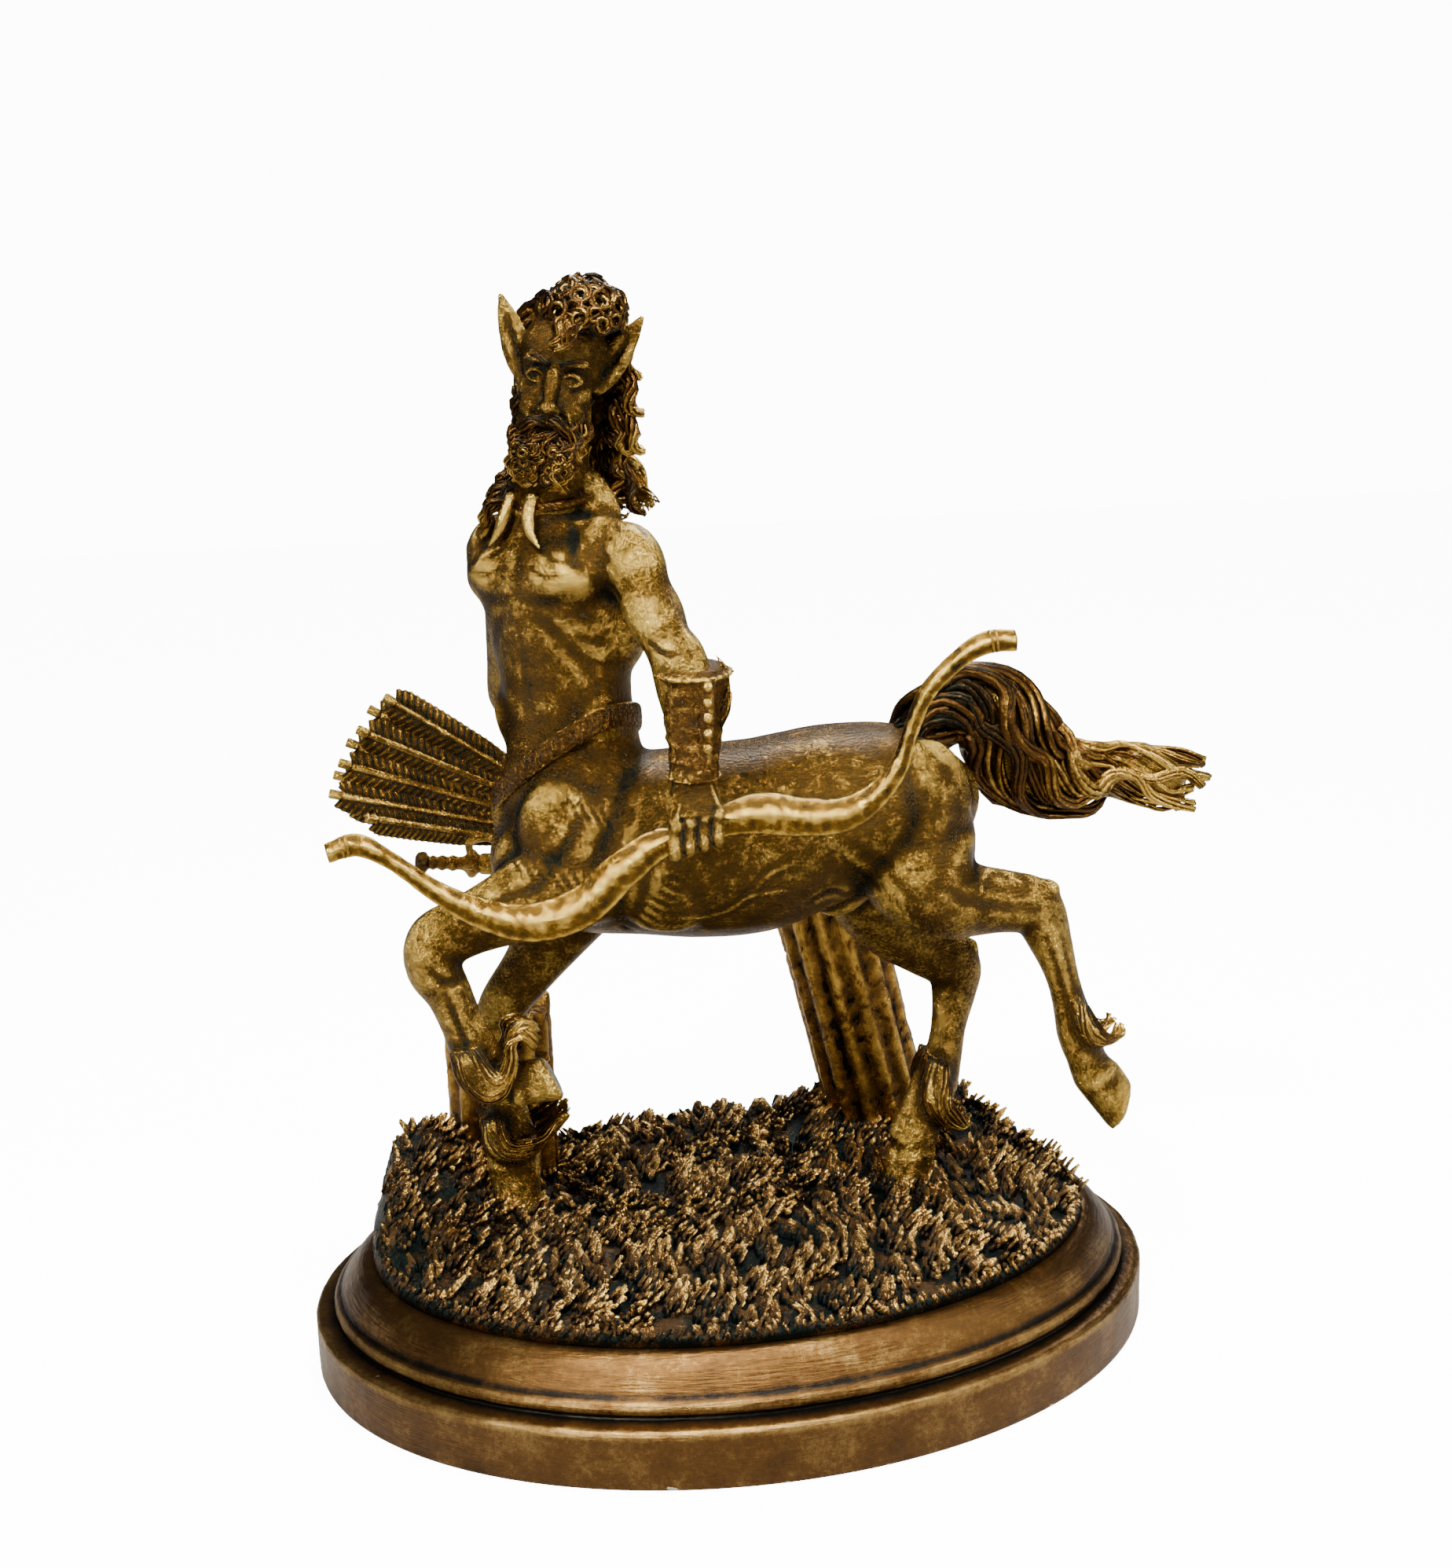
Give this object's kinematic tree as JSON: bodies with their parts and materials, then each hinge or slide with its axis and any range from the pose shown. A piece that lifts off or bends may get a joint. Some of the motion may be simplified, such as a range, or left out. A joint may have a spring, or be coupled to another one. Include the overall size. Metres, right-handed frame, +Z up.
{
  "type": "centaur statuette",
  "caption": "Bearded centaur archer statuette in bronze finish, trotting over turf with broken fluted columns on an oval moulded plinth, holding a recurved bow.",
  "frame": {"origin": "on the plinth's underside, below the middle of its oval", "axes": "+Z up out of the plinth; +X along the oval's length towards the tail; the horse body looks along -X and its left flank faces -Y"},
  "size_m": [0.2798, 0.186, 0.311],
  "materials": {
    "brown_bronze": "brushed brown-bronze paint, satin",
    "turf_bronze": "dark bronze paint with copper and gold rubbed on the high points",
    "column_bronze": "dark bronze paint, gold on the flutes",
    "shaft_bronze": "dark bronze paint, gold on the flutes",
    "gilt_bronze": "aged bronze paint, rubbed gold on the muscles, near black in the folds",
    "bow_bronze": "aged bronze paint, rubbed gold",
    "quiver_bronze": "aged bronze paint, dark between the feathers"
  },
  "bodies": {
    "root": {"plinth": "brown_bronze", "ground": "turf_bronze", "column_stump": "column_bronze", "leaning_column": "shaft_bronze", "centaur": "gilt_bronze", "bow": "bow_bronze", "quiver": "quiver_bronze"}
  },
  "joints": []
}
